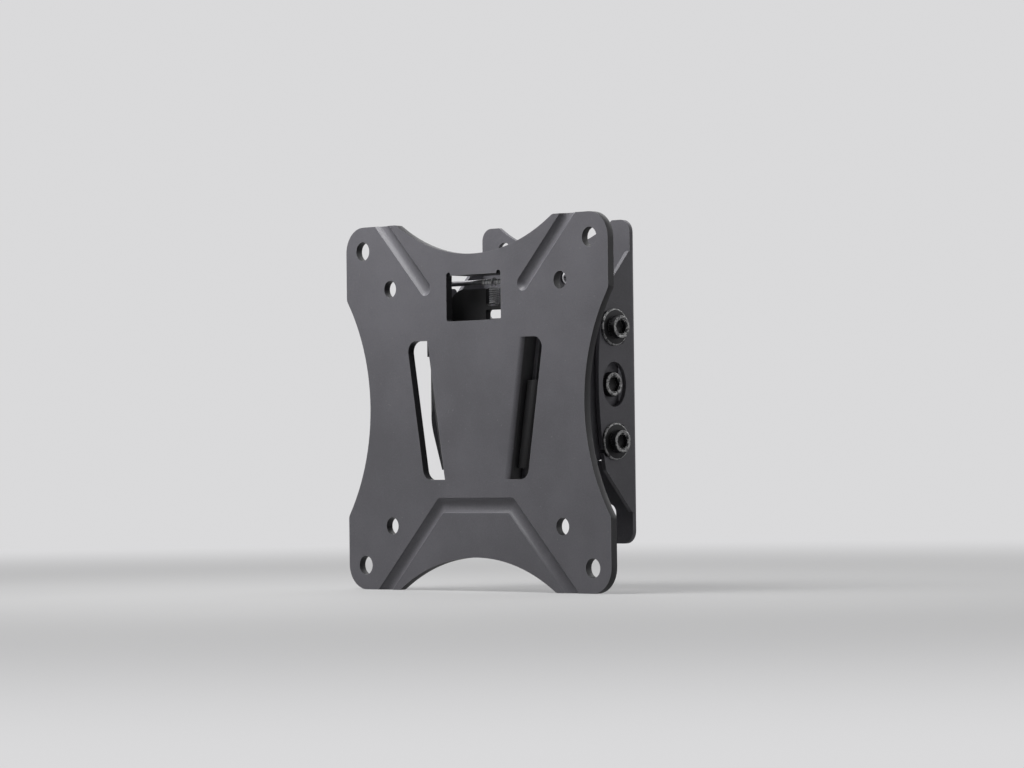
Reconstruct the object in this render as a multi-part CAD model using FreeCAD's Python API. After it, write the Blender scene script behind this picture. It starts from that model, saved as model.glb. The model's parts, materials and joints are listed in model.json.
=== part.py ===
import FreeCAD, Part
import math
import os

# Tilting wall bracket for a small screen, in millimetres.
# Origin: centre of the wall plate's rear face. +X right seen from the front, +Y into the wall, +Z up.

# Overall stand-off and the height of the screen pattern
reach = 38.0              # wall face to the front face of the screen plate
screen_drop = 7.0         # screen pattern's centre below the wall plate's centre
tilt_drop = 1.0           # middle bolt below the wall plate's centre

# Wall plate with its two folded cheeks
wall_width = 67.0
wall_height = 101.0
wall_sheet = 1.5
wall_end_setback = 1.0    # the flat ends stay this far inside the folds
wall_corner = 4.0
wall_dip = 8.0            # depth of the hollow in the upper and lower edges
wall_dip_half = 25.0
wall_bend = 1.7           # outside radius of the fold to a cheek
wall_hole_x = 22.6
wall_hole_z = 42.0
wall_slot_width = 5.6
wall_slot_length = 7.6
relief_x = 22.6           # four level slots that lighten the wall plate
relief_z = 23.1
relief_length = 16.0
relief_width = 3.0
cheek_half_height = 40.6
cheek_root = 2.8          # flat start of the cheek, measured from the wall
cheek_shoulder_depth = 14.3
cheek_shoulder_z = 27.5
cheek_depth = 17.1

# Tilt: four bolts run in curved slots about a line in front of the bolts
tilt_axis_depth = 28.0    # from the wall
tilt_limit = 9.0          # degrees each way
bolt_depth = 10.1         # bolt line, from the wall
bolt_rise = 17.7
bolt_radius = 2.0
slot_clearance = 0.15
head_radius = 3.3
head_height = 2.6
socket_radius = 2.1
socket_depth = 1.6
washer_radius = 5.8
washer_thick = 0.8
friction_radius = 3.9
friction_thick = 0.8
nut_flats = 7.0
nut_height = 3.4
bolt_tail = 1.2           # thread that shows past the nut
stop_head_radius = 3.85
stop_head_height = 2.4
stop_window_half_width = 5.25
stop_window_gap = 0.35    # room left above and below the stop bolt at the tilt limit
stop_thread = 10.0

# Tilt bracket: a channel that swings between the cheeks of the wall plate
bracket_sheet = 2.0
bracket_bend = 2.6
boss_radius = 4.2
web_top = 24.0            # heights of the bracket and the screen plate are above the screen centre
web_bottom = -20.0
cheek_foot_setback = 6.0  # how far the cheek's front edge runs back at its foot
cheek_break_z = -1.0
cheek_crown = 8.0         # the cheek stands above the web by this much
cheek_crown_depth = 21.5  # where the crown ends, behind the screen face
cheek_foot_drop = 4.0     # the cheek goes on below the lower bolts' boss by this much
lug_top = 49.3
lug_foot = 31.0
lug_front = 5.8
lug_back = 20.2
lug_waist = 15.6
web_tail_half_width = 13.0
spacer_radius = 4.0

# Screen plate
plate_size = 115.4
plate_sheet = 2.5
plate_corner = 8.0
plate_vertex = 34.5       # where the hollow of each side starts
plate_sagitta = 10.5
vesa_large = 100.0
vesa_small = 75.0
large_hole_radius = 3.0
small_hole_radius = 2.7
groove_width = 4.8
groove_depth = 1.2
groove_outer = 41.0
upper_groove_end_x = 21.6
upper_groove_end_z = 37.2
lower_groove_x = 15.5
lower_groove_z = -31.0
release_half_width = 12.0
release_low = 26.4
release_high = 40.7
release_relief = 1.0
tab_half_width = 10.2
tab_length = 11.0
ear_top = 20.7
ear_bottom = -23.0
ear_top_x = 21.9          # outer face of the ear at its top
ear_bottom_x = 14.6
ear_slot = 8.2            # width of the slot that the ear leaves open
ear_slot_corner = 3.4
ear_depth = 7.6           # front face to the rear of the ear's outward lip
ear_bend = 1.8
lip_sheet = 2.0
lip_reach = 1.6           # how far the lip stands out from the ear

# Wedge receiver: a pocket whose rails hold the ears from outside
receiver_gap = 0.4        # behind the ears
receiver_sheet = 2.0
rail_fit = 0.3            # side gap between ear and rail lip, and between ear lip and rail
rail_top = 7.5
rail_bottom = -19.6
rail_lip_gap = 0.3        # between the two lips, front to back
neck_half_width = 19.3
neck_foot = 24.6
neck_top = 36.6
neck_corner = 6.9
notch_half_width = 3.0    # room for the spring, open at the top
notch_bottom = 31.1
notch_corner = 1.2
bridge_height = 1.2       # the spring's tail is pressed into this bridge
sight_left = -2.6         # opening below the bridge
sight_right = 4.6
sight_bottom = 26.4
sight_corner = 0.8
rivet_radius = 2.2
rivet_head_radius = 3.8
rivet_head_height = 1.4
rivet_z = (15.0, -10.5)

# Latch: a sprung rod in slanting slots of the bracket's lugs
rod_radius = 0.8
rod_z = 38.6
rod_front = 9.0           # rod's centre behind the front face of the screen plate
rod_overhang = 1.6        # past the outer face of a lug
rod_fit = 0.1
clip_radius = 1.9
clip_thick = 0.8
latch_rise = 8.4          # the rod climbs and runs back by this much
catch_sheet = 1.5
catch_inner_x = 26.4
catch_flange = 6.5
catch_foot = 24.5
catch_nose = 3.6          # height of the catch at its rear end
catch_length = 16.4
catch_play = 0.2
spring_x = 0.5
spring_radius = 1.6       # to the wire's centre
spring_wire = 0.5
spring_turns = 10
spring_gap = 0.2          # between the lowest coil and the bridge
loop_gap = 0.05           # between the upper loop and the rod

V = FreeCAD.Vector
cheek_outer = wall_width / 2
cheek_inner = cheek_outer - wall_sheet
bracket_outer = cheek_inner - friction_thick
bracket_inner = bracket_outer - bracket_sheet
receiver_front = ear_depth + receiver_gap
receiver_back = receiver_front + receiver_sheet
rail_lip_back = ear_depth - lip_sheet - rail_lip_gap
rail_lip_front = rail_lip_back - receiver_sheet
web_front = receiver_back
web_back = web_front + bracket_sheet
ear_slope = (ear_top_x - ear_bottom_x) / (ear_top - ear_bottom)
slot_half_width = bolt_radius + slot_clearance
slot_radius = math.hypot(tilt_axis_depth - bolt_depth, bolt_rise)


def behind(depth):
    """Y of a point so far behind the front face of the screen plate."""
    return depth - reach


def from_wall(depth):
    """Y of a point so far in front of the wall."""
    return -depth


def level(height):
    """Z of a height that is given above the screen pattern's centre."""
    return height - screen_drop


def pivot(height):
    """Z of a height that is given above the middle bolt."""
    return height - tilt_drop


def face_of(edges):
    return Part.Face(Part.Wire(edges))


def polygon(points):
    return Part.makePolygon(points + [points[0]])


def slab(points, direction):
    return Part.Face(polygon(points)).extrude(direction)


def round_rod(radius, start, end):
    axis = end - start
    return Part.makeCylinder(radius, axis.Length, start, axis)


def mirrored(shape):
    return shape.mirror(V(0, 0, 0), V(1, 0, 0))


def one_solid(shape):
    solids = shape.removeSplitter().Solids
    return max(solids, key=lambda solid: solid.Volume)


def round_edges(shape, radius, wanted):
    edges = [edge for edge in shape.Edges if wanted(edge)]
    return shape.makeFillet(radius, edges) if edges else shape


def runs_along(edge, direction):
    if not isinstance(edge.Curve, Part.Line):
        return False
    return abs(edge.tangentAt(edge.FirstParameter).dot(direction)) > 0.999


def channel(half_width, y_outside, depth, sheet, bend, low, high):
    """U section, open towards depth's sign, with round folds; extruded from low to high."""
    sign = 1 if depth > 0 else -1
    y_end = y_outside + depth
    outer = Part.makeBox(2 * half_width, abs(depth), high - low, V(-half_width, min(y_outside, y_end), low))
    outer = round_edges(outer, bend, lambda edge: runs_along(edge, V(0, 0, 1))
                        and abs(edge.CenterOfMass.y - y_outside) < 0.01)
    inner_width = half_width - sheet
    y_inside = y_outside + sign * sheet
    extra = sheet
    inner = Part.makeBox(2 * inner_width, abs(depth) - sheet + extra, high - low + 2 * extra,
                         V(-inner_width, min(y_inside, y_end + sign * extra), low - extra))
    inner = round_edges(inner, bend - sheet, lambda edge: runs_along(edge, V(0, 0, 1))
                        and abs(edge.CenterOfMass.y - y_inside) < 0.01)
    return outer.cut(inner)


def slotted_hole(x, z, width, length, y_low, y_high):
    """Upright hole with round ends, along Y."""
    half = width / 2
    straight = (length - width) / 2
    depth = V(0, y_high - y_low, 0)
    core = slab([V(x - half, y_low, z - straight), V(x + half, y_low, z - straight),
                 V(x + half, y_low, z + straight), V(x - half, y_low, z + straight)], depth)
    for end in (-1, 1):
        core = core.fuse(Part.makeCylinder(half, y_high - y_low, V(x, y_low, z + end * straight), V(0, 1, 0)))
    return core


def wall_plate_outline():
    """Flat sheet with round corners and hollow upper and lower edges."""
    half = wall_width / 2 - wall_end_setback
    front = from_wall(wall_sheet)
    edges = []
    for end in (1, -1):
        z = end * wall_height / 2
        corners = [V(-end * x, front, z) for x in (half, wall_dip_half, -wall_dip_half, -half)]
        edges += [Part.LineSegment(corners[0], corners[1]).toShape(),
                  Part.Arc(corners[1], V(0, front, z - end * wall_dip), corners[2]).toShape(),
                  Part.LineSegment(corners[2], corners[3]).toShape(),
                  Part.LineSegment(corners[3], V(end * half, front, -z)).toShape()]
    sheet = face_of(edges).extrude(V(0, wall_sheet, 0))
    return round_edges(sheet, wall_corner, lambda edge: runs_along(edge, V(0, 1, 0))
                       and abs(abs(edge.CenterOfMass.x) - half) < 0.01)


def cheek_profile():
    """Side outline of both cheeks, as a block right across the bracket."""
    side = -cheek_outer - 1
    root = from_wall(cheek_root)
    shoulder = from_wall(cheek_shoulder_depth)
    low = V(side, shoulder, -cheek_shoulder_z)
    high = V(side, shoulder, cheek_shoulder_z)
    points = [high, V(side, root, cheek_half_height), V(side, 0, cheek_half_height),
              V(side, 0, -cheek_half_height), V(side, root, -cheek_half_height), low]
    edges = [Part.LineSegment(a, b).toShape() for a, b in zip(points, points[1:])]
    edges.append(Part.Arc(low, V(side, from_wall(cheek_depth), 0), high).toShape())
    block = face_of(edges).extrude(V(-2 * side, 0, 0))
    return round_edges(block, 1.5, lambda edge: runs_along(edge, V(1, 0, 0))
                       and abs(edge.CenterOfMass.y) > cheek_root - 0.1)


def tilt_slot(side_of_axis):
    """Curved slot for one bolt, right across the bracket; side_of_axis is 1 above, -1 below."""
    rise = math.atan2(bolt_rise, tilt_axis_depth - bolt_depth)
    swing = math.radians(tilt_limit) + 0.01
    length = 2 * cheek_outer + 2

    def at(radius, angle):
        return V(-cheek_outer - 1, from_wall(tilt_axis_depth) + radius * math.cos(angle),
                 pivot(side_of_axis * radius * math.sin(angle)))

    inner = slot_radius - slot_half_width
    outer = slot_radius + slot_half_width
    edges = [Part.Arc(at(outer, rise - swing), at(outer, rise), at(outer, rise + swing)).toShape(),
             Part.LineSegment(at(outer, rise + swing), at(inner, rise + swing)).toShape(),
             Part.Arc(at(inner, rise + swing), at(inner, rise), at(inner, rise - swing)).toShape(),
             Part.LineSegment(at(inner, rise - swing), at(outer, rise - swing)).toShape()]
    slot = face_of(edges).extrude(V(length, 0, 0))
    for angle in (rise - swing, rise + swing):
        slot = slot.fuse(Part.makeCylinder(slot_half_width, length, at(slot_radius, angle), V(1, 0, 0)))
    return slot


def stop_window():
    """Oval window that clears the head of the stop bolt over the whole tilt."""
    travel = (tilt_axis_depth - bolt_depth) * math.sin(math.radians(tilt_limit))
    half_height = stop_head_radius + travel + stop_window_gap
    centre = V(-cheek_outer - 1, from_wall(bolt_depth), pivot(0))
    oval = Part.Ellipse(centre + V(0, 0, half_height), centre + V(0, stop_window_half_width, 0), centre)
    return face_of([oval.toShape()]).extrude(V(2 * cheek_outer + 2, 0, 0))


def wall_plate():
    folded = channel(cheek_outer, 0, -cheek_depth - 1, wall_sheet, wall_bend,
                     -cheek_half_height, cheek_half_height).common(cheek_profile())
    ends = wall_plate_outline()
    edge_strip = wall_bend + 0.5
    for side in (-1, 1):
        near = side * cheek_outer
        strip = Part.makeBox(edge_strip, 3 * wall_sheet, 2 * cheek_half_height,
                             V(min(near, near - side * edge_strip), -2 * wall_sheet, -cheek_half_height))
        ends = ends.cut(strip)
    plate = folded.fuse(ends)
    for side in (-1, 1):
        for end in (-1, 1):
            plate = plate.cut(slotted_hole(side * wall_hole_x, end * wall_hole_z, wall_slot_width,
                                           wall_slot_length, -2 * wall_sheet, wall_sheet))
            relief = slotted_hole(0, 0, relief_width, relief_length, -2 * wall_sheet, wall_sheet)
            relief.rotate(V(0, 0, 0), V(0, 1, 0), 90)
            relief.translate(V(side * relief_x, 0, end * relief_z))
            plate = plate.cut(relief)
    for side_of_axis in (-1, 1):
        plate = plate.cut(tilt_slot(side_of_axis))
    return one_solid(plate.cut(stop_window()))


def hollow_side(a, b, middle):
    return Part.Arc(a, middle, b).toShape()


def plate_outline(front, thickness):
    """Square with round corners and four hollow sides."""
    half = plate_size / 2
    waist = half - plate_sagitta
    y = front

    def at(x, z):
        return V(x, y, level(z))

    corners = [(1, 1), (1, -1), (-1, -1), (-1, 1)]
    edges = []
    for (cx, cz), (nx, nz) in zip(corners, corners[1:] + corners[:1]):
        if cx == nx:
            start, end, middle = at(cx * half, cz * plate_vertex), at(cx * half, nz * plate_vertex), at(cx * waist, 0)
            before, after = at(cx * half, cz * half), at(cx * half, nz * half)
        else:
            start, end, middle = at(cx * plate_vertex, cz * half), at(nx * plate_vertex, cz * half), at(0, cz * waist)
            before, after = at(cx * half, cz * half), at(nx * half, cz * half)
        edges += [Part.LineSegment(before, start).toShape(), hollow_side(start, end, middle),
                  Part.LineSegment(end, after).toShape()]
    sheet = face_of(edges).extrude(V(0, thickness, 0))
    sheet = round_edges(sheet, plate_corner, lambda edge: runs_along(edge, V(0, 1, 0))
                        and abs(abs(edge.CenterOfMass.x) - half) < 0.01
                        and abs(abs(edge.CenterOfMass.z + screen_drop) - half) < 0.01)
    return round_edges(sheet, 2.5, lambda edge: runs_along(edge, V(0, 1, 0))
                       and (abs(abs(edge.CenterOfMass.x) - plate_vertex) < 0.01
                            or abs(abs(edge.CenterOfMass.z + screen_drop) - plate_vertex) < 0.01))


def groove(radius, axis_y, stops):
    """Rod-shaped tool along a run of stops, with ball ends."""
    tool = None
    points = [V(x, axis_y, level(z)) for x, z in stops]
    for a, b in zip(points, points[1:]):
        run = round_rod(radius, a, b)
        tool = run if tool is None else tool.fuse(run)
    for point in points:
        tool = tool.fuse(Part.makeSphere(radius, point))
    return tool


def groove_runs():
    beyond = 8.0
    half = plate_size / 2
    runs = []
    for side in (-1, 1):
        slope_x = groove_outer - upper_groove_end_x
        slope_z = half - upper_groove_end_z
        runs.append([(side * (groove_outer + beyond * slope_x / slope_z), half + beyond),
                     (side * upper_groove_end_x, upper_groove_end_z)])
    foot_x = groove_outer - lower_groove_x
    foot_z = half + lower_groove_z
    outer_x = groove_outer + beyond * foot_x / foot_z
    runs.append([(-outer_x, -half - beyond), (-lower_groove_x, lower_groove_z),
                 (lower_groove_x, lower_groove_z), (outer_x, -half - beyond)])
    return runs


def pressed_grooves(sheet):
    radius = (groove_width ** 2 / 4 + groove_depth ** 2) / (2 * groove_depth)
    axis_y = behind(groove_depth - radius)
    keep = plate_outline(behind(0), plate_sheet + 2 * groove_depth)
    for run in groove_runs():
        ridge = groove(radius + plate_sheet, axis_y, run).common(keep)
        sheet = sheet.fuse(ridge)
    for run in groove_runs():
        sheet = sheet.cut(groove(radius, axis_y, run))
    return sheet


def ear_line(height):
    """Outer face of an ear at a height above the screen centre."""
    return ear_top_x + (height - ear_top) * ear_slope


def ear_slot_cut(side):
    """Slanting slot that an ear leaves in the plate."""
    points = [V(side * ear_line(ear_top), behind(-1), level(ear_top)),
              V(side * (ear_line(ear_top) + ear_slot), behind(-1), level(ear_top)),
              V(side * (ear_line(ear_bottom) + ear_slot), behind(-1), level(ear_bottom)),
              V(side * ear_line(ear_bottom), behind(-1), level(ear_bottom))]
    cut = slab(points, V(0, plate_sheet + 2, 0))
    return round_edges(cut, ear_slot_corner, lambda edge: runs_along(edge, V(0, 1, 0))
                       and abs(edge.CenterOfMass.x) > ear_line(edge.CenterOfMass.z + screen_drop) + 1)


def along_ear(section, low, high):
    """Prism whose section follows the slant of an ear; section x is measured from its outer face."""
    foot = [V(ear_line(low) + x, behind(depth), level(low)) for x, depth in section]
    return slab(foot, V(ear_line(high) - ear_line(low), 0, high - low))


def ear(side):
    """Ear folded back along its slot, with a lip turned outwards."""
    solid = along_ear([(0, 0), (0, ear_depth - lip_sheet), (lip_reach, ear_depth - lip_sheet),
                       (lip_reach, ear_depth), (-plate_sheet, ear_depth), (-plate_sheet, 0)], ear_bottom, ear_top)
    slant = V(ear_top_x - ear_bottom_x, 0, ear_top - ear_bottom).normalize()
    solid = round_edges(solid, 1.8, lambda edge: runs_along(edge, slant)
                        and edge.CenterOfMass.y > behind(ear_depth) - 0.01
                        and edge.CenterOfMass.x < ear_line(edge.CenterOfMass.z + screen_drop) - 1)
    return solid if side > 0 else mirrored(solid)


def ear_fold(side):
    """Material to take off the front so that the ear leaves the face in a round fold."""
    bottom_x = ear_line(ear_bottom)
    start = V(bottom_x - ear_bend, behind(ear_bend), level(ear_bottom))
    corner = [V(bottom_x - ear_bend, behind(0) - 1, level(ear_bottom)),
              V(bottom_x + 1, behind(0) - 1, level(ear_bottom)),
              V(bottom_x + 1, behind(ear_bend), level(ear_bottom)),
              start]
    run = V(ear_line(ear_top) - bottom_x, 0, ear_top - ear_bottom)
    block = slab(corner, run)
    bar = Part.makeCylinder(ear_bend, run.Length * 1.2, start - run * 0.1, run)
    solid = block.cut(bar)
    return solid if side > 0 else mirrored(solid)


def release_window():
    width = 2 * release_half_width
    cut = Part.makeBox(width, plate_sheet + 2, release_high - release_low,
                       V(-release_half_width, behind(-1), level(release_low)))
    cut = round_edges(cut, 0.8, lambda edge: runs_along(edge, V(0, 1, 0)))
    for side in (-1, 1):
        centre = V(side * (release_half_width - release_relief), behind(-1), level(release_high))
        cut = cut.fuse(Part.makeCylinder(release_relief, plate_sheet + 2, centre, V(0, 1, 0)))
    return cut


def release_tab():
    """Tab folded back from the window's upper edge."""
    tab = Part.makeBox(2 * tab_half_width, tab_length, plate_sheet,
                       V(-tab_half_width, behind(0), level(release_high)))
    return round_edges(tab, 3.0, lambda edge: runs_along(edge, V(0, 0, 1))
                       and edge.CenterOfMass.y > behind(tab_length) - 0.1)


def screen_plate():
    plate = pressed_grooves(plate_outline(behind(0), plate_sheet))
    for side in (-1, 1):
        plate = plate.cut(ear_slot_cut(side)).fuse(ear(side)).cut(ear_fold(side))
    plate = plate.cut(release_window()).fuse(release_tab())
    for spacing, radius in ((vesa_large, large_hole_radius), (vesa_small, small_hole_radius)):
        for sx in (-1, 1):
            for sz in (-1, 1):
                centre = V(sx * spacing / 2, behind(-1), level(sz * spacing / 2))
                plate = plate.cut(Part.makeCylinder(radius, plate_sheet + groove_depth + 2, centre, V(0, 1, 0)))
    return one_solid(plate)


def rail(side):
    """Rail folded forwards beside an ear, with a lip turned in before the ear's lip."""
    inside = lip_reach + rail_fit
    outside = inside + receiver_sheet
    section = [(rail_fit, rail_lip_front), (outside, rail_lip_front), (outside, receiver_back),
               (inside, receiver_back), (inside, rail_lip_back), (rail_fit, rail_lip_back)]
    solid = along_ear(section, rail_bottom, rail_top)
    slant = V(ear_top_x - ear_bottom_x, 0, ear_top - ear_bottom).normalize()
    solid = round_edges(solid, 1.8, lambda edge: runs_along(edge, slant)
                        and edge.CenterOfMass.x > ear_line(edge.CenterOfMass.z + screen_drop) + outside - 0.1)
    return solid if side > 0 else mirrored(solid)


def wedge_receiver():
    """Folded pocket plate with two slanting rails and a neck that is notched for the spring."""
    outside = lip_reach + rail_fit + receiver_sheet / 2
    outline = [(neck_half_width, neck_top), (neck_half_width, neck_foot), (ear_line(rail_top) + outside, rail_top),
               (ear_line(rail_bottom) + outside, rail_bottom)]
    outline += [(-x, z) for x, z in reversed(outline)]
    plate = slab([V(x, behind(receiver_front), level(z)) for x, z in outline], V(0, receiver_sheet, 0))
    plate = round_edges(plate, neck_corner, lambda edge: runs_along(edge, V(0, 1, 0))
                        and edge.CenterOfMass.z > level(neck_top) - 0.01)
    openings = [(spring_x - notch_half_width, spring_x + notch_half_width, notch_bottom, neck_top + 2, notch_corner),
                (sight_left, sight_right, sight_bottom, notch_bottom - bridge_height, sight_corner)]
    for left, right, low, high, corner in openings:
        opening = Part.makeBox(right - left, receiver_sheet + 2, high - low,
                               V(left, behind(receiver_front - 1), level(low)))
        plate = plate.cut(round_edges(opening, corner, lambda edge: runs_along(edge, V(0, 1, 0))
                                      and edge.CenterOfMass.z < level(neck_top)))
    tail_hole = Part.makeCylinder(spring_wire / 2, bridge_height + 1,
                                  V(spring_x, behind(rod_front), level(notch_bottom + 0.5)), V(0, 0, -1))
    plate = plate.cut(tail_hole)
    for side in (-1, 1):
        plate = plate.fuse(rail(side))
    for height in rivet_z:
        plate = plate.cut(Part.makeCylinder(rivet_radius, receiver_sheet + 2,
                                            V(0, behind(receiver_front - 1), level(height)), V(0, 1, 0)))
    return one_solid(plate)


def receiver_rivet(height):
    """Rivet through the pocket plate and the bracket's web, domed at both ends."""
    z = level(height)
    ball = (rivet_head_radius ** 2 + rivet_head_height ** 2) / (2 * rivet_head_height)
    solid = Part.makeCylinder(rivet_radius, web_back - receiver_front, V(0, behind(receiver_front), z), V(0, 1, 0))
    for face, way in ((receiver_front, -1), (web_back, 1)):
        dome = Part.makeSphere(ball, V(0, behind(face) + way * (rivet_head_height - ball), z))
        room = Part.makeCylinder(rivet_head_radius, rivet_head_height + 1, V(0, behind(face), z), V(0, way, 0))
        solid = solid.fuse(dome.common(room))
    return one_solid(solid)


def bracket_profile():
    """Side outline of the tilt bracket, as a block right across it."""
    side = -bracket_outer - 1
    front = behind(web_front)
    rear = from_wall(bolt_depth - boss_radius)
    bolts = from_wall(bolt_depth)
    high, foot = pivot(bolt_rise), pivot(-bolt_rise)
    crown = level(web_top + cheek_crown)
    rear_points = [V(side, bolts, high + boss_radius), V(side, rear, high), V(side, rear, foot),
                   V(side, bolts, foot - boss_radius)]
    slant = boss_radius * math.sqrt(0.5)
    edges = [Part.Arc(rear_points[0], V(side, bolts + slant, high + slant), rear_points[1]).toShape(),
             Part.LineSegment(rear_points[1], rear_points[2]).toShape(),
             Part.Arc(rear_points[2], V(side, bolts + slant, foot - slant), rear_points[3]).toShape()]
    front_points = [rear_points[3], V(side, front + cheek_foot_setback, foot - boss_radius - cheek_foot_drop),
                    V(side, front, level(cheek_break_z)), V(side, front, crown - cheek_foot_drop),
                    V(side, front + cheek_foot_drop, crown), V(side, behind(cheek_crown_depth), crown),
                    rear_points[0]]
    edges += [Part.LineSegment(a, b).toShape() for a, b in zip(front_points, front_points[1:])]
    return face_of(edges).extrude(V(-2 * side, 0, 0))


def lug(side):
    """Upright lug at the top of a cheek with the slanting slot for the latch rod."""
    x = bracket_inner
    over = rod_z + 3.2
    outline = [(lug_front, lug_foot), (lug_front, over), (lug_front + lug_top - over, lug_top), (lug_back, lug_top),
               (lug_back, lug_top - 5), (lug_waist, rod_z), (lug_waist, web_top - 8), (web_front, web_top - 8),
               (web_front, lug_foot - 3)]
    solid = slab([V(x, behind(depth), level(z)) for depth, z in outline], V(bracket_sheet, 0, 0))
    solid = round_edges(solid, 2.0, lambda edge: runs_along(edge, V(1, 0, 0))
                        and edge.CenterOfMass.z > level(lug_foot) - 0.1)
    start = V(x - 1, behind(rod_front), level(rod_z))
    end = start + V(0, latch_rise, latch_rise)
    half = rod_radius + rod_fit
    across = V(0, -half * math.sqrt(0.5), half * math.sqrt(0.5))
    cut = slab([start + across, end + across, end - across, start - across], V(bracket_sheet + 2, 0, 0))
    for point in (start, end):
        cut = cut.fuse(Part.makeCylinder(half, bracket_sheet + 2, point, V(1, 0, 0)))
    solid = solid.cut(cut)
    return solid if side > 0 else mirrored(solid)


def tilt_bracket():
    depth = reach - web_front
    body = channel(bracket_outer, behind(web_front), depth, bracket_sheet, bracket_bend,
                   level(web_bottom) - 20, level(web_top) + 20).common(bracket_profile())
    above = Part.makeBox(2 * bracket_inner - 1, bracket_sheet + 6, 40,
                         V(-bracket_inner + 0.5, behind(web_front) - 1, level(web_top)))
    body = body.cut(above)
    below = Part.makeBox(2 * bracket_inner - 1, bracket_sheet + 6, 40,
                         V(-bracket_inner + 0.5, behind(web_front) - 1, level(web_bottom) - 40))
    body = body.cut(below)
    tail = Part.makeBox(2 * web_tail_half_width, bracket_sheet, web_top - web_bottom,
                        V(-web_tail_half_width, behind(web_front), level(web_bottom)))
    tail = round_edges(tail, 4.0, lambda edge: runs_along(edge, V(0, 1, 0))
                       and edge.CenterOfMass.z < level(web_bottom) + 0.01)
    body = body.fuse(tail)
    for side in (-1, 1):
        body = body.fuse(lug(side))
    for height in rivet_z:
        body = body.cut(Part.makeCylinder(rivet_radius, bracket_sheet + 2,
                                          V(0, behind(web_front - 1), level(height)), V(0, 1, 0)))
    for height in (-bolt_rise, 0, bolt_rise):
        body = body.cut(Part.makeCylinder(bolt_radius, 2 * bracket_outer + 2,
                                          V(-bracket_outer - 1, from_wall(bolt_depth), pivot(height)), V(1, 0, 0)))
    return one_solid(body)


def socket_screw(radius_head, height_head, seat_x, length, centre_z):
    """Cap screw along X on the right-hand side, its head's underside at seat_x."""
    centre = V(seat_x, from_wall(bolt_depth), centre_z)
    head = Part.makeCylinder(radius_head, height_head, centre, V(1, 0, 0))
    head = round_edges(head, 0.5, lambda edge: edge.CenterOfMass.x > seat_x + height_head - 0.01)
    shank = Part.makeCylinder(bolt_radius, length, centre, V(-1, 0, 0))
    corners = [V(seat_x + height_head - socket_depth,
                 centre.y + socket_radius * math.cos(math.radians(60 * k)),
                 centre.z + socket_radius * math.sin(math.radians(60 * k))) for k in range(6)]
    socket = slab(corners, V(socket_depth + 1, 0, 0))
    return one_solid(head.fuse(shank).cut(socket))


def tilt_bolt(side, end):
    length = washer_thick + cheek_outer - bracket_inner + nut_height + bolt_tail
    bolt = socket_screw(head_radius, head_height, cheek_outer + washer_thick, length, pivot(end * bolt_rise))
    return bolt if side > 0 else mirrored(bolt)


def stop_bolt(side):
    bolt = socket_screw(stop_head_radius, stop_head_height, bracket_outer, stop_thread, pivot(0))
    return bolt if side > 0 else mirrored(bolt)


def ring(radius, thickness, x, centre_z):
    centre = V(x, from_wall(bolt_depth), centre_z)
    disc = Part.makeCylinder(radius, thickness, centre, V(1, 0, 0))
    return disc.cut(Part.makeCylinder(bolt_radius, thickness, centre, V(1, 0, 0)))


def bolt_washer(side, end):
    washer = ring(washer_radius, washer_thick, cheek_outer, pivot(end * bolt_rise))
    return washer if side > 0 else mirrored(washer)


def friction_washer(side, end):
    washer = ring(friction_radius, friction_thick, bracket_outer, pivot(end * bolt_rise))
    return washer if side > 0 else mirrored(washer)


def lock_nut(side, end):
    """Six-sided nut with a round collar, on the inside of the tilt bracket."""
    across_corners = nut_flats / math.sqrt(3)
    collar = 0.8
    x = bracket_inner - nut_height
    centre = V(x, from_wall(bolt_depth), pivot(end * bolt_rise))
    corners = [V(x + collar, centre.y + across_corners * math.cos(math.radians(60 * k + 30)),
                 centre.z + across_corners * math.sin(math.radians(60 * k + 30))) for k in range(6)]
    body = slab(corners, V(nut_height - collar, 0, 0))
    body = body.fuse(Part.makeCylinder(nut_flats / 2 - 0.4, collar, centre, V(1, 0, 0)))
    body = one_solid(body.cut(Part.makeCylinder(bolt_radius, nut_height, centre, V(1, 0, 0))))
    return body if side > 0 else mirrored(body)


def spacer_bar():
    """Round bar between the bracket's cheeks, tapped at both ends for the stop bolts."""
    centre = V(-bracket_inner, from_wall(bolt_depth), pivot(0))
    bar = Part.makeCylinder(spacer_radius, 2 * bracket_inner, centre, V(1, 0, 0))
    depth = stop_thread - bracket_sheet + 1.5
    for start, way in ((-bracket_inner, 1), (bracket_inner, -1)):
        bar = bar.cut(Part.makeCylinder(bolt_radius, depth, V(start, from_wall(bolt_depth), pivot(0)), V(way, 0, 0)))
    return bar


def latch_rod():
    reach_x = bracket_outer + rod_overhang
    return round_rod(rod_radius, V(-reach_x, behind(rod_front), level(rod_z)),
                     V(reach_x, behind(rod_front), level(rod_z)))


def rod_clip(side):
    """Push-on ring that keeps the rod in its lugs."""
    x = bracket_outer + 0.3
    centre = V(x, behind(rod_front), level(rod_z))
    disc = Part.makeCylinder(clip_radius, clip_thick, centre, V(1, 0, 0))
    disc = disc.cut(Part.makeCylinder(rod_radius, clip_thick, centre, V(1, 0, 0)))
    return disc if side > 0 else mirrored(disc)


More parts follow.
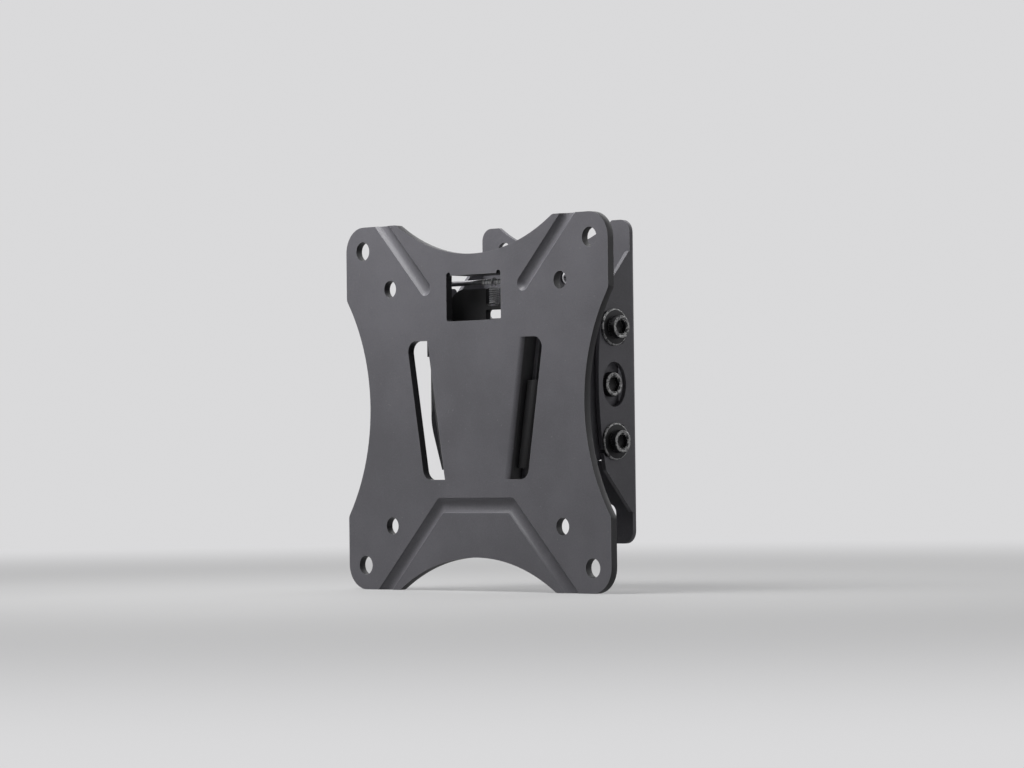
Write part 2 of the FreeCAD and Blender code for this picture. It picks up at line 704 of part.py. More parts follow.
def catch(side):
    """Angle spot-welded behind the screen plate; its long upper edge lies under the rod."""
    x = catch_inner_x
    top = level(rod_z) - rod_radius - catch_play
    back = behind(plate_sheet)
    foot = level(catch_foot)
    rear = back + catch_length
    flange_top = top - 4.8
    fin = slab([V(x, back, foot), V(x, back, flange_top), V(x, back + 2.4, top), V(x, rear, top),
                V(x, rear, top - catch_nose), V(x, back + 3, foot)], V(catch_sheet, 0, 0))
    fin = round_edges(fin, 1.4, lambda edge: runs_along(edge, V(1, 0, 0))
                      and edge.CenterOfMass.y > rear - 0.01)
    flange = Part.makeBox(catch_flange, catch_sheet, flange_top - foot, V(x, back, foot))
    flange = round_edges(flange, 1.6, lambda edge: runs_along(edge, V(0, 1, 0))
                         and edge.CenterOfMass.x > x + catch_flange - 0.01)
    solid = one_solid(fin.fuse(flange))
    return solid if side > 0 else mirrored(solid)


def latch_spring():
    """Tension spring: close coils between a loop round the rod and a tail pressed into the bridge."""
    axis_y = behind(rod_front)
    wire = spring_wire / 2
    loop = rod_radius + loop_gap + wire
    low = level(notch_bottom) + spring_gap + wire
    high = level(rod_z) - loop - wire
    helix = Part.makeHelix((high - low) / spring_turns, high - low, spring_radius)
    helix.translate(V(spring_x, axis_y, low))
    start = V(spring_x + spring_radius, axis_y, low)
    section = Part.Wire(Part.Circle(start, V(0, 1, 0), wire).toShape())
    solid = Part.Wire(helix.Edges).makePipeShell([section], True, True)
    for z in (low, high):
        hub = V(spring_x, axis_y, z)
        solid = solid.fuse(round_rod(wire, hub, V(spring_x + spring_radius, axis_y, z)))
        solid = solid.fuse(Part.makeSphere(wire, hub))
    solid = solid.fuse(Part.makeTorus(loop, wire, V(spring_x, axis_y, level(rod_z)), V(1, 0, 0)))
    solid = solid.fuse(round_rod(wire, V(spring_x, axis_y, level(rod_z) - loop), V(spring_x, axis_y, high)))
    tail_end = V(spring_x, axis_y, level(notch_bottom - bridge_height))
    solid = solid.fuse(round_rod(wire, V(spring_x, axis_y, low), tail_end))
    return one_solid(solid)


def build():
    nodes = {"wall_plate": wall_plate(), "tilt_bracket": tilt_bracket(), "screen_plate": screen_plate(),
             "wedge_receiver": wedge_receiver(), "spacer_bar": spacer_bar(), "latch_rod": latch_rod(),
             "latch_spring": latch_spring()}
    for name, height in zip(("upper", "lower"), rivet_z):
        nodes["receiver_rivet_" + name] = receiver_rivet(height)
    for side_name, side in (("left", -1), ("right", 1)):
        nodes["stop_bolt_" + side_name] = stop_bolt(side)
        nodes["rod_clip_" + side_name] = rod_clip(side)
        nodes["latch_catch_" + side_name] = catch(side)
        for end_name, end in (("upper", 1), ("lower", -1)):
            place = end_name + "_" + side_name
            nodes["tilt_bolt_" + place] = tilt_bolt(side, end)
            nodes["bolt_washer_" + place] = bolt_washer(side, end)
            nodes["friction_washer_" + place] = friction_washer(side, end)
            nodes["lock_nut_" + place] = lock_nut(side, end)
    return nodes


os.makedirs("parts", exist_ok=True)
for name, shape in build().items():
    shape.exportStep("parts/" + name + ".step")
    print(name, len(shape.Solids), round(shape.Volume, 1), shape.isValid())
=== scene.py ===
import bpy
import bmesh
import json
import math
from mathutils import Matrix, Vector


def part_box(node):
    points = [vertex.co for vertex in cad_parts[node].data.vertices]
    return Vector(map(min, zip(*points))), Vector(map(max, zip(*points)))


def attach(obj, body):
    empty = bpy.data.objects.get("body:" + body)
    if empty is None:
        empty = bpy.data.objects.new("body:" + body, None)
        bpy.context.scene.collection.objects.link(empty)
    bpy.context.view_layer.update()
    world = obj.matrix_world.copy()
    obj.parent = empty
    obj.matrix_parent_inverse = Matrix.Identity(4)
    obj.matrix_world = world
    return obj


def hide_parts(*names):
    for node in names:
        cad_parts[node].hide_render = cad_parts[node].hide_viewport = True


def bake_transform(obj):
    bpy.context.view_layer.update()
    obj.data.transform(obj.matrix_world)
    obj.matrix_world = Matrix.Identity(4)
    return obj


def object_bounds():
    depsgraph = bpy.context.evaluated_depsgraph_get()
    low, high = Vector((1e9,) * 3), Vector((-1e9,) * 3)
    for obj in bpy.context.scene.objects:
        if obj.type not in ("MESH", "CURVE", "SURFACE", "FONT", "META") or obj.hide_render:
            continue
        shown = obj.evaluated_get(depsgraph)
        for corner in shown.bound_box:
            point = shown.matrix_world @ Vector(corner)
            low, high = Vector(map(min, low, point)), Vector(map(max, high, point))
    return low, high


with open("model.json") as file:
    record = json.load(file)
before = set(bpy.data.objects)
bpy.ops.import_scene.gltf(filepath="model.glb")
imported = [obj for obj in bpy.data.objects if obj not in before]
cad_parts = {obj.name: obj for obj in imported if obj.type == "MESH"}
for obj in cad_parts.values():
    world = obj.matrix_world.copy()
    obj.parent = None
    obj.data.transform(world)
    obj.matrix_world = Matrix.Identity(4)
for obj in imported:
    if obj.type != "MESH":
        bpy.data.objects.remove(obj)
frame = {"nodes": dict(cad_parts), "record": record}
cadLow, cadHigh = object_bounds()
nodes = frame["nodes"]
record = frame["record"]
slotOf = {row["node"]: row["material_slot"] for row in record["subparts"]}
bodyOf = {name: body for body, held in record["behaviour"]["bodies"].items() for name in held}
corners = [end + "_" + side for side in ("left", "right") for end in ("upper", "lower")]
mm = 0.001  # the pieces' own sizes are given in millimetres


class Sock:  # a shader socket that takes part in sums
    def __init__(self, tree, out):
        self.tree, self.out = tree, out

    def math(self, operation, first, second=0.0):
        return self.tree.add("ShaderNodeMath", {"operation": operation}, {0: first, 1: second})[0]

    def __add__(self, other):
        return self.math("ADD", self, other)

    def __sub__(self, other):
        return self.math("SUBTRACT", self, other)

    def __rsub__(self, other):
        return self.math("SUBTRACT", other, self)

    def __mul__(self, other):
        return self.math("MULTIPLY", self, other)

    __radd__, __rmul__ = __add__, __mul__

    def larger(self, other):
        return self.math("MAXIMUM", self, other)

    def magnitude(self):
        return self.math("ABSOLUTE", self)

    def sine(self):
        return self.math("SINE", self)

    def angle(self, across):  # direction of (across, self) round a centre
        return self.math("ARCTAN2", self, across)

    def ramp(self, low, high):  # smooth from 0 at low to 1 at high
        return self.tree.add("ShaderNodeMapRange", {"interpolation_type": "SMOOTHSTEP"}, {0: self, 1: low, 2: high})[0]


class Tree:
    def __init__(self, owner):
        owner.use_nodes = True
        self.nodes, self.links = owner.node_tree.nodes, owner.node_tree.links

    def add(self, kind, settings, values):  # every node comes from here, and its outputs go back
        node = self.nodes.new(kind)
        for name, value in settings.items():
            setattr(node, name, value)
        for place, value in values.items():
            self.feed(node.inputs[place], value)
        return [Sock(self, out) for out in node.outputs]

    def feed(self, socket, value):
        if isinstance(value, Sock):
            self.links.new(value.out, socket)
        else:
            socket.default_value = value


class Finish(Tree):
    def __init__(self, name):
        self.material = bpy.data.materials.new(name)
        super().__init__(self.material)
        self.shader = self.nodes["Principled BSDF"]
        self.place = self.add("ShaderNodeTexCoord", {}, {})[3]

    def axes(self):  # object coordinates in millimetres
        return [out * (1 / mm) for out in self.add("ShaderNodeSeparateXYZ", {}, {0: self.place})]

    def noise(self, perMetre, detail=2.0, roughness=0.5):
        return self.add("ShaderNodeTexNoise", {}, {"Vector": self.place, "Scale": perMetre, "Detail": detail,
                                                   "Roughness": roughness})[0]

    def mix(self, factor, first, second):
        return self.add("ShaderNodeMix", {"data_type": "RGBA"}, {0: factor, 6: first, 7: second})[2]

    def edge(self, radius):  # 0 on flats, up to 1 along edges
        rounded = self.add("ShaderNodeBevel", {"samples": 4}, {"Radius": radius * mm})[0]
        plain = self.add("ShaderNodeNewGeometry", {}, {})[1]
        return 1 - self.add("ShaderNodeVectorMath", {"operation": "DOT_PRODUCT"}, {0: rounded, 1: plain})[1]

    def bump(self, height, depth, strength):
        return self.add("ShaderNodeBump", {}, {"Strength": strength, "Distance": depth * mm, "Height": height})[0]

    def done(self, **sockets):
        for name, value in sockets.items():
            self.feed(self.shader.inputs[name.replace("_", " ")], value)
        return self.material


def grey(level, blue=0.0):
    return (level, level * (1 - blue / 5), level * (1 + blue), 1.0)


coat = {"deep": grey(0.090, 0.09), "pale": grey(0.120, 0.09), "edge_wear_and_highlight": grey(0.22, 0.03), "dust": grey(0.30),
        "cut": grey(0.012, 0.05), "cloud": 38, "scuff": 190, "speck": 900, "grain": 2400, "edge": 0.45,
        "rough": 0.46, "ior": 1.34}


def charcoalCoat(name="charcoalCoat", cut=0.0):  # the last argument is how far painted shade darkens the sheet's cut faces and every other face that turns sideways, folded ears too
    f = Finish(name)
    cloud = f.noise(coat["cloud"], 4.0, 0.62)
    peel = f.noise(coat["grain"], 3.0, 0.55)  # orange peel of the powder coat
    fleck = f.noise(coat["grain"] * 2.6, 1.0)
    scuffs = f.noise(coat["scuff"], 5.0, 0.72)
    # edges lightened: scuffed patches of wear, and along every edge a painted highlight
    worn = f.edge(coat["edge"]).ramp(0.02, 0.2) * (scuffs.ramp(0.46, 0.66) * 0.6 + 0.4)
    shade = (cloud * 0.5 + peel * 0.3 + fleck * 0.2).ramp(0.36, 0.64)
    colour = f.mix(worn * 0.55, f.mix(shade, coat["deep"], coat["pale"]), coat["edge_wear_and_highlight"])
    specks = f.noise(coat["speck"], 2.0, 0.6).ramp(0.69, 0.76) * 0.22
    colour = f.mix(specks, colour, coat["dust"])
    if cut:
        normal = f.add("ShaderNodeTexCoord", {}, {})[1]
        flat = f.add("ShaderNodeSeparateXYZ", {}, {0: normal})[1].magnitude()  # 1 where the sheet faces front or back
        # painted shade: faces that turn sideways, such as the walls of slots, holes and the window, are darkened as if
        # in shade
        colour = f.mix((1 - flat.ramp(0.4, 0.75)) * cut, colour, coat["cut"])
    rough = coat["rough"] + (cloud - 0.5) * 0.16 + (peel - 0.5) * 0.12 - worn * 0.1
    relief = f.bump(peel * 0.75 + fleck * 0.25, 0.05, 0.6)
    return f.done(Base_Color=colour, Roughness=rough, IOR=coat["ior"], Normal=relief)


black = {"deep": grey(0.010, 0.06), "blue": grey(0.020, 0.12), "worn": grey(0.42, -0.03), "rim": grey(0.30),
         "cloud": 330, "nicks": 1500, "patches": 1100, "fine": 5200, "edge": 0.22, "rough": 0.42, "ior": 1.3}


def blackOxide():
    f = Finish("blackOxide")
    cloud = f.noise(black["cloud"], 3.0, 0.6)
    fine = f.noise(black["fine"], 2.0)
    nicks = f.noise(black["nicks"], 3.0, 0.7)
    worn = f.edge(black["edge"]).ramp(0.03, 0.22) * nicks.ramp(0.45, 0.58)
    colour = f.mix(worn * 0.85, f.mix(cloud.ramp(0.35, 0.65), black["deep"], black["blue"]), black["worn"])
    rough = black["rough"] + (cloud - 0.5) * 0.2 + (fine - 0.5) * 0.1
    return f.done(Base_Color=colour, Roughness=rough, Metallic=worn * 0.6, IOR=black["ior"],
                  Normal=f.bump(fine, 0.01, 0.5))


def rubbedRim():  # faces of the screw heads and rims of the washers, rubbed bare in patches
    f = Finish("rubbedRim")
    patches = f.noise(black["patches"], 4.0, 0.75)
    fine = f.noise(black["fine"], 2.0)
    bare = patches.ramp(0.40, 0.55)
    colour = f.mix(bare, black["blue"], black["rim"])
    return f.done(Base_Color=colour, Roughness=0.5 - bare * 0.12 + (fine - 0.5) * 0.1, Metallic=bare * 0.45,
                  Normal=f.bump(patches * 0.7 + fine * 0.3, 0.04, 0.7))


receiverShade = {"deep": grey(0.014, 0.05), "pale": grey(0.022, 0.05), "worn": grey(0.12), "cloud": 60, "scuff": 240,
        "grain": 2600, "edge": 0.3, "rough": 0.52, "ior": 1.34}


# painted shade: the receiver sits in the recess behind the plate's window and slots and is coloured near black for
# that shade; its edges carry worn patches
def receiverShadeCoat():
    f = Finish("receiverShadeCoat")
    cloud = f.noise(receiverShade["cloud"], 3.0, 0.6)
    peel = f.noise(receiverShade["grain"], 3.0, 0.55)
    worn = f.edge(receiverShade["edge"]).ramp(0.03, 0.22) * f.noise(receiverShade["scuff"], 4.0, 0.7).ramp(0.5, 0.66)
    shade = (cloud * 0.6 + peel * 0.4).ramp(0.35, 0.65)
    colour = f.mix(worn * 0.5, f.mix(shade, receiverShade["deep"], receiverShade["pale"]), receiverShade["worn"])
    rough = receiverShade["rough"] + (cloud - 0.5) * 0.14 + (peel - 0.5) * 0.1
    return f.done(Base_Color=colour, Roughness=rough, IOR=receiverShade["ior"], Normal=f.bump(peel, 0.04, 0.5))


zinc = {"bright": grey(0.52, 0.04), "dull": grey(0.34, 0.03), "stain": (0.30, 0.27, 0.21, 1.0), "cloud": 420,
        "blots": 150, "fine": 6000, "rough": 0.33}
rodLow, rodHigh = (Vector(corner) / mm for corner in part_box("latch_rod"))
rodMiddle = (rodLow + rodHigh) / 2
grip = {"from": -4.5, "to": 8.5, "pitch": 1.2, "depth": 0.22, "light": grey(0.85)}  # ridges wound round the rod; their crests carry a painted highlight


def zincPlate(name="zincPlate", gripped=False):
    f = Finish(name)
    cloud = f.noise(zinc["cloud"], 4.0, 0.65)
    fine = f.noise(zinc["fine"], 2.0)
    stain = f.noise(zinc["blots"], 3.0, 0.6).ramp(0.56, 0.72) * 0.35
    colour = f.mix(stain, f.mix(cloud.ramp(0.3, 0.7), zinc["dull"], zinc["bright"]), zinc["stain"])
    relief, bare = f.bump(fine, 0.01, 0.4), 1.0
    if gripped:
        x, y, z = f.axes()
        turn = (z - rodMiddle.z).angle(y - rodMiddle.y)
        ridges = (x * (math.tau / grip["pitch"]) + turn).sine() * 0.5 + 0.5
        zone = x.ramp(grip["from"] - 0.1, grip["from"] + 0.1) * (1 - x.ramp(grip["to"] - 0.1, grip["to"] + 0.1))
        relief = f.bump(ridges * zone + fine * 0.04, grip["depth"], 1.0)
        # painted highlight: the ridged band is coloured lighter, most on the crests
        colour = f.mix((ridges * 0.65 + 0.1) * zone, colour, grip["light"])
        bare = 1 - zone * 0.8
    rough = zinc["rough"] + (cloud - 0.5) * 0.2 + (fine - 0.5) * 0.08
    return f.done(Base_Color=colour, Roughness=rough, Metallic=bare, Normal=relief)


wire = {"deep": grey(0.34, 0.03), "pale": grey(0.48, 0.03), "cloud": 700, "fine": 9000, "rough": 0.48, "metal": 0.35}


def springWire():
    f = Finish("springWire")
    cloud = f.noise(wire["cloud"], 3.0, 0.6)
    return f.done(Base_Color=f.mix(cloud.ramp(0.3, 0.7), wire["deep"], wire["pale"]),
                  Roughness=wire["rough"] + (cloud - 0.5) * 0.2, Metallic=wire["metal"],
                  Normal=f.bump(f.noise(wire["fine"], 2.0), 0.006, 0.4))


plastic = {"deep": grey(0.014), "pale": grey(0.026), "cloud": 380, "fine": 4200, "rough": 0.55}


def frictionPlastic():
    f = Finish("frictionPlastic")
    cloud = f.noise(plastic["cloud"], 2.0)
    fine = f.noise(plastic["fine"], 2.0)
    return f.done(Base_Color=f.mix(cloud.ramp(0.3, 0.7), plastic["deep"], plastic["pale"]),
                  Roughness=plastic["rough"] + (fine - 0.5) * 0.15, Normal=f.bump(fine, 0.02, 0.5))


finishes = {"charcoal_coat": charcoalCoat(), "black_steel": blackOxide(), "zinc_steel": zincPlate(),
            "friction_plastic": frictionPlastic()}
ownFinish = {"screen_plate": charcoalCoat("plateCoat", 0.85), "wedge_receiver": receiverShadeCoat(),
             "latch_spring": springWire(), "latch_rod": zincPlate("ridgedRodHighlight", gripped=True)}
rim = rubbedRim()
for name, piece in nodes.items():
    piece.data.materials.clear()
    piece.data.materials.append(ownFinish.get(name, finishes[slotOf[name]]))
print("finishes made")

softEdge = {"weld": 0.002, "segments": 3, "angle": 32}
rounding = {"screen_plate": 0.45, "wall_plate": 0.3, "tilt_bracket": 0.4, "wedge_receiver": 0.35,
            "latch_catch_left": 0.3, "latch_catch_right": 0.3, "spacer_bar": 0.3, "latch_rod": 0.2,
            "receiver_rivet_upper": 0.1, "receiver_rivet_lower": 0.1}


def roundEdges(piece, width):
    weld = piece.modifiers.new("weld", "WELD")
    weld.merge_threshold = softEdge["weld"] * mm
    soft = piece.modifiers.new("softEdge", "BEVEL")
    soft.width = width * mm
    soft.segments = softEdge["segments"]
    soft.limit_method = "ANGLE"
    soft.angle_limit = math.radians(softEdge["angle"])
    soft.harden_normals = True
    soft.use_clamp_overlap = True


for name, width in rounding.items():
    roundEdges(nodes[name], width)
print("edges rounded")


def turned(profile, steps, closed=False):  # a profile of (along, radius) in millimetres, spun round X
    bm = bmesh.new()
    points = [bm.verts.new((along * mm, 0, radius * mm)) for along, radius in profile]
    chain = [bm.edges.new(pair) for pair in zip(points, points[1:] + points[:1] if closed else points[1:])]
    bmesh.ops.spin(bm, geom=points + chain, cent=(0, 0, 0), axis=(1, 0, 0), dvec=(0, 0, 0), angle=math.tau,
                   steps=steps, use_merge=True)
    bmesh.ops.remove_doubles(bm, verts=bm.verts, dist=0.0005 * mm)
    return bm


def reshape(bm, low, high, inner, outer, radius):  # radius(angle, old) for what lies in a band, in millimetres
    for vert in bm.verts:
        old = math.hypot(vert.co.y, vert.co.z) / mm
        if low - 0.001 < vert.co.x / mm < high + 0.001 and inner < old < outer:
            new = radius(math.atan2(vert.co.z, vert.co.y), old)
            vert.co.y, vert.co.z = vert.co.y * new / old, vert.co.z * new / old


rootThree = 1.732  # width of a hexagon across its flats over the length of a side


def hexagon(flats):
    return lambda angle, old: min(old, flats / 2 / math.cos(angle % (math.pi / 3) - math.pi / 6))


def toothed(count, depth):
    return lambda angle, old: old - depth * (0.5 - 0.5 * math.cos(angle * count))


def starred(count, gap):  # gaps cut between the teeth of a spring clip
    return lambda angle, old: old + (gap if math.cos(angle * count) > 0.62 else 0)


def secondFinish(bm, chosen):  # for the faces where chosen(along, radius) holds, in millimetres
    for face in bm.faces:
        middle = face.calc_center_median()
        face.material_index = int(chosen(middle.x / mm, math.hypot(middle.y, middle.z) / mm))


def addPiece(name, mesh, replaced, finish=None):
    for face in mesh.polygons:
        face.use_smooth = True
    mesh.set_sharp_from_angle(angle=math.radians(30))
    mesh.materials.append(finish or finishes[slotOf[replaced]])
    piece = bpy.data.objects.new(name, mesh)
    bpy.context.scene.collection.objects.link(piece)
    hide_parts(replaced)
    return piece


def standAt(bm, name, replaced, seat, along):  # built on +X; seat is its place along X, along is 1 or -1
    low, high = (Vector(corner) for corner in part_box(replaced))
    bmesh.ops.scale(bm, vec=(along, 1, 1), verts=bm.verts)
    bmesh.ops.translate(bm, vec=(seat * mm, (low.y + high.y) / 2, (low.z + high.z) / 2), verts=bm.verts)
    bmesh.ops.recalc_face_normals(bm, faces=bm.faces)
    mesh = bpy.data.meshes.new(name)
    bm.to_mesh(mesh)
    bm.free()
    piece = addPiece(name, mesh, replaced)
    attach(piece, bodyOf[replaced])
    return piece


def reachOf(name):  # nearest and farthest place of a node from the middle, in millimetres, and its side
    low, high = (corner[0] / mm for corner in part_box(name))
    return min(abs(low), abs(high)), max(abs(low), abs(high)), 1 if low > 0 else -1


capScrew = {"steps": 144, "head": 3.6, "height": 2.6, "shank": 2.0, "socket": 2.35, "deep": 1.7, "drillTip": 0.5,
            "chamfer": 0.3, "lip": 0.25, "teeth": 36, "tooth": 0.16, "pitch": 0.7, "thread": 0.32, "threaded": 4.2,
            "lead": 0.45}
stopScrew = dict(capScrew, head=3.85, height=2.4, socket=2.5, deep=1.5, threaded=0.0, chamfer=0.5)


def screw(name, replaced, look):
    near, far, side = reachOf(replaced)
    top, head, socket = look["height"], look["head"], look["socket"]
    lip, chamfer, pitch = look["lip"], look["chamfer"], look["pitch"]
    tail, floor = near - far + top, top - look["deep"]
    thread = tail + look["lead"]
    crest, root = look["shank"], look["shank"] - look["thread"]
    profile = [(tail, 0), (tail, root - 0.1), (thread, crest)]
    for turn in range(int(look["threaded"] / pitch)):
        profile += [(thread + (turn + 0.5) * pitch, root), (thread + (turn + 1) * pitch, crest)]
    profile += [(0, crest), (0, head - 0.2), (0.2, head - 0.02), (0.35, head), (top - chamfer, head),
                (top - chamfer * 0.35, head - chamfer * 0.45), (top, head - chamfer),
                (top, socket + lip), (top - lip, socket), (floor, socket), (floor - look["drillTip"], 0)]
    bm = turned(profile, look["steps"])
    reshape(bm, 0.3, top - chamfer, head - 0.01, head + 0.01, toothed(look["teeth"], look["tooth"]))
    reshape(bm, floor, top - lip, socket - 0.01, socket + 0.01, hexagon(socket * rootThree))
    secondFinish(bm, lambda along, radius: along > top - 0.2 and radius > socket)
    standAt(bm, name, replaced, side * (far - top), side).data.materials.append(rim)


for corner in corners:
    screw("capScrew_" + corner, "tilt_bolt_" + corner, capScrew)
for side in ("left", "right"):
    screw("stopScrew_" + side, "stop_bolt_" + side, stopScrew)
print("screws turned")

stamped = {"steps": 96, "outer": 5.8, "inner": 2.1, "thick": 0.8, "roll": 0.5,
           "curve": [(1, 0), (0.62, 0.08), (0.29, 0.29), (0.08, 0.62), (0, 1)]}  # the rolled rim, down and inward


def boltWasher(corner):
    outer, inner, thick, roll = (stamped[key] for key in ("outer", "inner", "thick", "roll"))
    near, _, side = reachOf("bolt_washer_" + corner)
    rolled = [(thick - roll * down, outer - roll * inward) for down, inward in stamped["curve"]]
    profile = [(0, inner), (0, outer - 0.08), (0.08, outer)] + rolled + [(thick, inner + 0.12), (thick - 0.12, inner)]
    bm = turned(profile, stamped["steps"], closed=True)
    secondFinish(bm, lambda along, radius: along > thick - roll and radius > outer - roll)
    washer = standAt(bm, "stampedWasher_" + corner, "bolt_washer_" + corner, side * near, side)
    washer.data.materials.append(rim)


slipRing = {"steps": 72, "outer": 3.8, "inner": 2.1, "thick": 0.8, "rest": 0.02, "groove": 0.15}


def frictionWasher(corner):  # plastic ring with a grease groove round each face
    outer, inner, thick, rest, groove = (slipRing[key] for key in ("outer", "inner", "thick", "rest", "groove"))
    near, _, side = reachOf("friction_washer_" + corner)
    middle = (outer + inner) / 2
    half = [(rest, inner), (rest, middle - 0.2), (rest + groove, middle), (rest, middle + 0.2), (rest, outer - 0.1),
            (rest + 0.1, outer)]
    profile = half + [(thick - along, radius) for along, radius in reversed(half)]
    standAt(turned(profile, slipRing["steps"], closed=True), "slipRing_" + corner, "friction_washer_" + corner,
            side * near, side)


lockNut = {"steps": 96, "flats": 7.0, "hex": 2.35, "height": 3.4, "collar": 3.15, "bore": 2.02}


def nylonNut(corner):
    flats, hexTop, top, collar, bore = (lockNut[key] for key in ("flats", "hex", "height", "collar", "bore"))
    _, far, side = reachOf("lock_nut_" + corner)
    across = flats / rootThree
    profile = [(0, bore), (0, flats / 2 + 0.1), (0.35, across), (hexTop - 0.4, across), (hexTop, flats / 2 + 0.02),
               (hexTop, collar + 0.12), (hexTop + 0.12, collar), (top - 0.45, collar), (top - 0.18, collar - 0.08),
               (top - 0.03, collar - 0.3), (top, collar - 0.5), (top - 0.05, collar - 0.65), (top - 0.3, collar - 0.7),
               (top - 0.3, bore)]
    bm = turned(profile, lockNut["steps"], closed=True)
    reshape(bm, 0, hexTop, collar + 0.2, across + 1, hexagon(flats))
    secondFinish(bm, lambda along, radius: along > top - 0.31 and radius < collar - 0.7)  # plastic ring in the collar
    nut = standAt(bm, "lockNut_" + corner, "lock_nut_" + corner, side * far, -side)
    nut.data.materials.append(finishes["friction_plastic"])


for corner in corners:
    boltWasher(corner)
    frictionWasher(corner)
    nylonNut(corner)
print("washers and nuts turned")

starClip = {"steps": 96, "outer": 1.9, "bore": 0.82, "thick": 0.8, "teeth": 6, "gap": 0.34}


def rodClip(side):
    outer, bore, thick = starClip["outer"], starClip["bore"], starClip["thick"]
    near, _, way = reachOf("rod_clip_" + side)
    profile = [(0, outer), (0.2, outer), (0.28, outer * 0.76), (thick, bore + 0.14), (thick - 0.06, bore),
               (thick - 0.28, bore), (0.1, outer * 0.72)]
    bm = turned(profile, starClip["steps"], closed=True)
    reshape(bm, 0.4, thick, 0, 1.1, starred(starClip["teeth"], starClip["gap"]))
    standAt(bm, "starClip_" + side, "rod_clip_" + side, way * near, way)


for side in ("left", "right"):
    rodClip(side)
print("clips made")

coil = {"radius": 1.6, "wire": 0.25, "turns": 7.75, "perTurn": 24, "tail": 1.65, "neck": 0.6, "hook": 1.1,
        "hookPoints": 15, "hookStep": 20}


def latchSpring():
    low, high = (Vector(corner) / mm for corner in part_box("latch_spring"))
    x, y = (low.x + high.x) / 2, (low.y + high.y) / 2
    radius, hook, hub = coil["radius"], coil["hook"], rodMiddle.z
    foot, head = low.z + coil["tail"], hub - hook - coil["neck"]
    route = [(0, 0, low.z), (0, 0, low.z + 0.7), (0, 0.1, foot - 0.3), (0.5, 0.3, foot - 0.05), (1.1, 0.1, foot)]
    count = int(coil["turns"] * coil["perTurn"])
    for i in range(count + 1):
        angle = math.tau * i / coil["perTurn"]
        route.append((radius * math.cos(angle), radius * math.sin(angle), foot + (head - foot) * i / count))
    route += [(0.25, -radius, head + 0.15), (0.05, 0.2 - radius, head + 0.7)]
    for i in range(coil["hookPoints"]):  # hook over the rod
        angle = math.pi + math.radians(coil["hookStep"]) * i
        route.append((0, hook * math.cos(angle), hub - hook * math.sin(angle)))
    curve = bpy.data.curves.new("springPath", "CURVE")
    curve.dimensions = "3D"
    curve.bevel_depth = coil["wire"] * mm
    curve.bevel_resolution = 3
    curve.use_fill_caps = True
    spline = curve.splines.new("NURBS")
    spline.points.add(len(route) - 1)
    for point, spot in zip(spline.points, route):
        point.co = ((x + spot[0]) * mm, (y + spot[1]) * mm, spot[2] * mm, 1.0)
    spline.order_u = 3
    spline.use_endpoint_u = True
    spline.resolution_u = 3
    path = bpy.data.objects.new("springPath", curve)
    bpy.context.scene.collection.objects.link(path)
    mesh = bpy.data.meshes.new_from_object(path.evaluated_get(bpy.context.evaluated_depsgraph_get()))
    bpy.data.objects.remove(path)
    spring = addPiece("coilSpring", mesh, "latch_spring", ownFinish["latch_spring"])
    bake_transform(spring)


latchSpring()
print("spring wound")

room = {"size": 3.0, "pale": grey(0.70, 0.01), "deep": grey(0.33), "light": grey(0.37), "mottle": 6, "rough": 0.8,
        "near": 0.22, "far": 0.75, "glow": 0.4, "ambient": 0.1}  # from near to far the floor fades into the backdrop


def paleFloor():
    mesh = bpy.data.meshes.new("floor")
    bm = bmesh.new()
    bmesh.ops.create_grid(bm, x_segments=1, y_segments=1, size=room["size"])
    bmesh.ops.translate(bm, verts=bm.verts, vec=(0, 0, cadLow[2]))
    bm.to_mesh(mesh)
    bm.free()
    floor = bpy.data.objects.new("floor", mesh)
    bpy.context.scene.collection.objects.link(floor)
    f = Finish("paleFloor")
    f.done(Base_Color=f.mix(f.noise(room["mottle"], 2.0), room["deep"], room["light"]), Roughness=room["rough"])
    away = f.add("ShaderNodeVectorMath", {"operation": "LENGTH"}, {0: f.place})[1].ramp(room["near"], room["far"])
    glow = f.add("ShaderNodeEmission", {}, {"Color": room["pale"], "Strength": 1.0})[0]
    share = (away * (1 - room["glow"]) + room["glow"]) * seen(f)
    blend = f.add("ShaderNodeMixShader", {}, {0: share, 1: Sock(f, f.shader.outputs[0]), 2: glow})[0]
    f.feed(f.nodes["Material Output"].inputs[0], blend)
    mesh.materials.append(f.material)


def seen(tree):  # 1 for what the camera sees, also by reflection or through glass
    path = tree.add("ShaderNodeLightPath", {}, {})
    return path[0].larger(path[3]).larger(path[6])


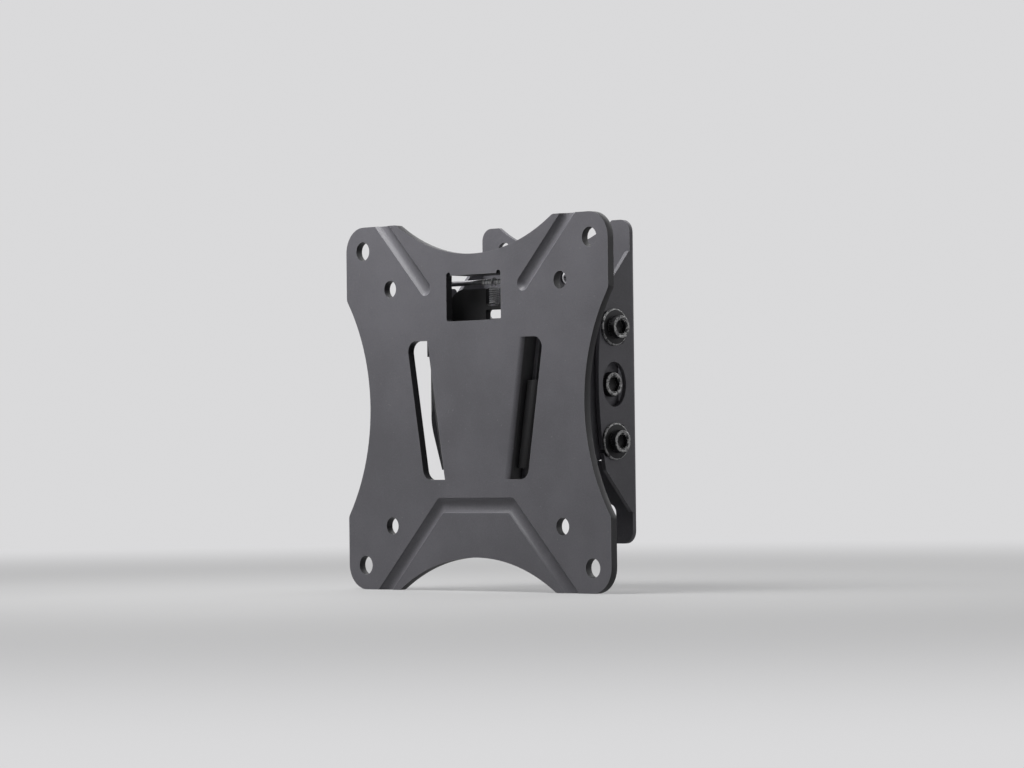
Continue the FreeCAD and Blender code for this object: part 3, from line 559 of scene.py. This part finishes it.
def paleWorld():
    world = bpy.data.worlds.new("studio")
    bpy.context.scene.world = world
    t = Tree(world)
    t.nodes.clear()
    shown = t.add("ShaderNodeBackground", {}, {"Color": room["pale"], "Strength": 1.0})[0]
    lit = t.add("ShaderNodeBackground", {}, {"Color": grey(1.0), "Strength": room["ambient"]})[0]
    blend = t.add("ShaderNodeMixShader", {}, {0: seen(t), 1: lit, 2: shown})[0]
    t.add("ShaderNodeOutputWorld", {}, {0: blend})


lamps = {"above": {"at": (-0.055, -0.15, 0.27), "size": 0.18, "power": 1.5},
         "rightBack": {"at": (0.9, 0.66, 0.42), "size": 0.5, "power": 1.8},
         "leftBack": {"at": (-0.9, 0.7, 0.5), "size": 0.6, "power": 1.8},
         "back": {"at": (-0.1, 0.9, 0.45), "size": 0.7, "power": 3.0},
         "leftFront": {"at": (-1.0, -0.8, 0.3), "size": 0.8, "power": 1.2}}  # metres and watts


def softLamps():
    for name, row in lamps.items():
        data = bpy.data.lights.new(name, "AREA")
        data.size = row["size"]
        data.energy = row["power"]
        lamp = bpy.data.objects.new(name, data)
        lamp.location = row["at"]
        lamp.rotation_euler = (-Vector(row["at"])).to_track_quat("-Z", "Y").to_euler()
        bpy.context.scene.collection.objects.link(lamp)


eye = {"azimuth": 0.782361362, "elevation": -0.0201886814, "roll": -0.0115576707, "lens": 139.48,
       "distance": 1.21935, "target": (0.01652, -0.038, -0.00073)}


def photoCamera():
    az, el, roll = eye["azimuth"], eye["elevation"], eye["roll"]
    back = Vector((math.sin(az) * math.cos(el), -math.cos(az) * math.cos(el), math.sin(el)))
    right = (-back).cross(Vector((0, 0, 1))).normalized()
    up = right.cross(-back)
    across = right * math.cos(roll) + up * math.sin(roll)
    upward = up * math.cos(roll) - right * math.sin(roll)
    data = bpy.data.cameras.new("photoCamera")
    data.sensor_width = 36
    data.lens = eye["lens"]
    data.clip_start, data.clip_end = 0.05, 20
    camera = bpy.data.objects.new("photoCamera", data)
    camera.matrix_world = Matrix.Translation(Vector(eye["target"]) + back * eye["distance"]) @ Matrix(
        (across, upward, back)).transposed().to_4x4()
    bpy.context.scene.collection.objects.link(camera)
    bpy.context.scene.camera = camera


paleFloor()
paleWorld()
softLamps()
photoCamera()
bpy.context.scene.view_settings.view_transform = "Standard"
print("room, lamps and camera set")
